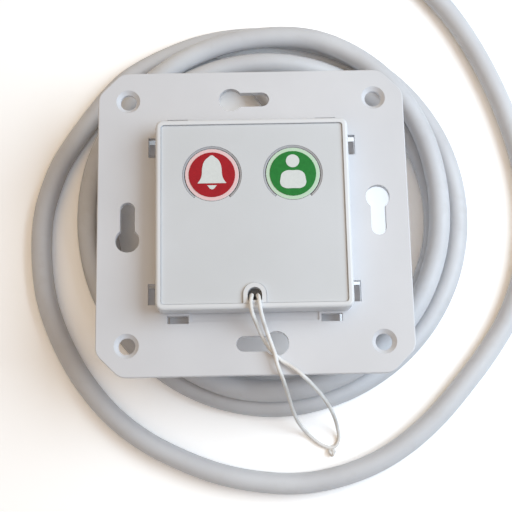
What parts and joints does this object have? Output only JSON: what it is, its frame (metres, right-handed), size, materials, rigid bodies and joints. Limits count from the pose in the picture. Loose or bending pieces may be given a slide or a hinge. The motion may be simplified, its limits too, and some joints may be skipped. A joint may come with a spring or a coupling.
{
  "type": "nurse call wall module",
  "caption": "Square wall mounting plate with a clip-in call unit: round red call key, round green presence key, a looped pull cord and a round data cable.",
  "frame": {"origin": "centre of the rear face of the back box, under the middle of the mounting plate", "axes": "+Z out of the front face, +Y up the face from the pull cord to the keys, +X to the right seen from the front"},
  "size_m": [0.1587, 0.2303, 0.0349],
  "materials": {
    "plate": "fine satin, white",
    "shell": "smooth white",
    "label": "matt printed film, pale grey",
    "red": "printed red",
    "green": "printed green",
    "mark": "printed white",
    "cord": "twisted white cord",
    "board": "green circuit board",
    "black": "black component housings",
    "steel": "zinc plated",
    "gold": "gold plated contacts",
    "cable": "satin light grey cable jacket",
    "clear": "clear to milky plastic",
    "lamp": "milky lamp"
  },
  "bodies": {
    "base": {"mounting_plate": "plate", "front_housing": "shell", "front_label": "label", "cord_eyelet": "shell", "circuit_board": "board", "call_switch": "black", "call_lamp": "lamp", "presence_switch": "black", "presence_lamp": "lamp", "pull_switch": "black", "buzzer": "black", "controller_chip": "black", "pull_guide": "shell", "pull_spring": "steel", "rear_housing": "shell", "housing_screw_1": "steel", "housing_screw_2": "steel", "housing_screw_3": "steel", "strain_relief": "cable", "cable_clamp": "shell", "cable_entry": "cable", "terminal_block": "clear", "cable_cores": "cable", "data_cable": "cable", "cable_coil": "cable", "coil_tie": "black", "cable_tail": "cable", "plug_boot": "cable", "plug_body": "clear", "plug_contact_1": "gold", "plug_contact_2": "gold", "plug_contact_3": "gold", "plug_contact_4": "gold", "plug_contact_5": "gold", "plug_contact_6": "gold", "plug_contact_7": "gold", "plug_contact_8": "gold"},
    "call_key": {"call_key": "shell", "call_disc": "red", "call_symbol": "mark"},
    "call_plunger": {"call_plunger": "clear"},
    "presence_key": {"presence_key": "shell", "presence_disc": "green", "presence_symbol": "mark"},
    "presence_plunger": {"presence_plunger": "clear"},
    "pull_slider": {"pull_slider": "shell", "pull_knot": "cord", "pull_cord": "cord", "loop_knot": "cord"},
    "pull_plunger": {"pull_plunger": "clear"},
    "plug_latch": {"plug_latch": "clear"}
  },
  "joints": [
    {"name": "call_key_press", "type": "hinge", "parent": "base", "child": "call_key", "pos_m": [-0.0095, 0.0008, 0.02995], "axis": [-1, 0, 0], "range_deg": [0, 3], "stiffness_Nm_per_rad": 0.15, "springref_deg": -2.86},
    {"name": "call_plunger_travel", "type": "slide", "parent": "base", "child": "call_plunger", "axis": [0, 0, -1], "range_m": [0, 0.0006]},
    {"name": "presence_key_press", "type": "hinge", "parent": "base", "child": "presence_key", "pos_m": [0.0095, 0.0008, 0.02995], "axis": [-1, 0, 0], "range_deg": [0, 3], "stiffness_Nm_per_rad": 0.15, "springref_deg": -2.86},
    {"name": "presence_plunger_travel", "type": "slide", "parent": "base", "child": "presence_plunger", "axis": [0, 0, -1], "range_m": [0, 0.0006]},
    {"name": "pull_slide", "type": "slide", "parent": "base", "child": "pull_slider", "axis": [0, 0, 1], "range_m": [0, 0.0015], "stiffness_N_per_m": 30, "springref_m": -0.0003, "deforming": ["pull_spring"]},
    {"name": "pull_plunger_travel", "type": "slide", "parent": "base", "child": "pull_plunger", "axis": [0, 0, 1], "range_m": [0, 0.0008]},
    {"name": "plug_latch_press", "type": "hinge", "parent": "base", "child": "plug_latch", "pos_m": [0.08817, 0.15924, 0.0077], "axis": [0.1908, -0.9816, 0], "range_deg": [0, 6], "stiffness_Nm_per_rad": 0.05, "springref_deg": -1.15}
  ],
  "couplings": [
    {"joint": "call_plunger_travel", "follows": "call_key_press", "m_per_rad": 0.009},
    {"joint": "presence_plunger_travel", "follows": "presence_key_press", "m_per_rad": 0.009},
    {"joint": "pull_plunger_travel", "follows": "pull_slide", "ratio": 0.5}
  ]
}
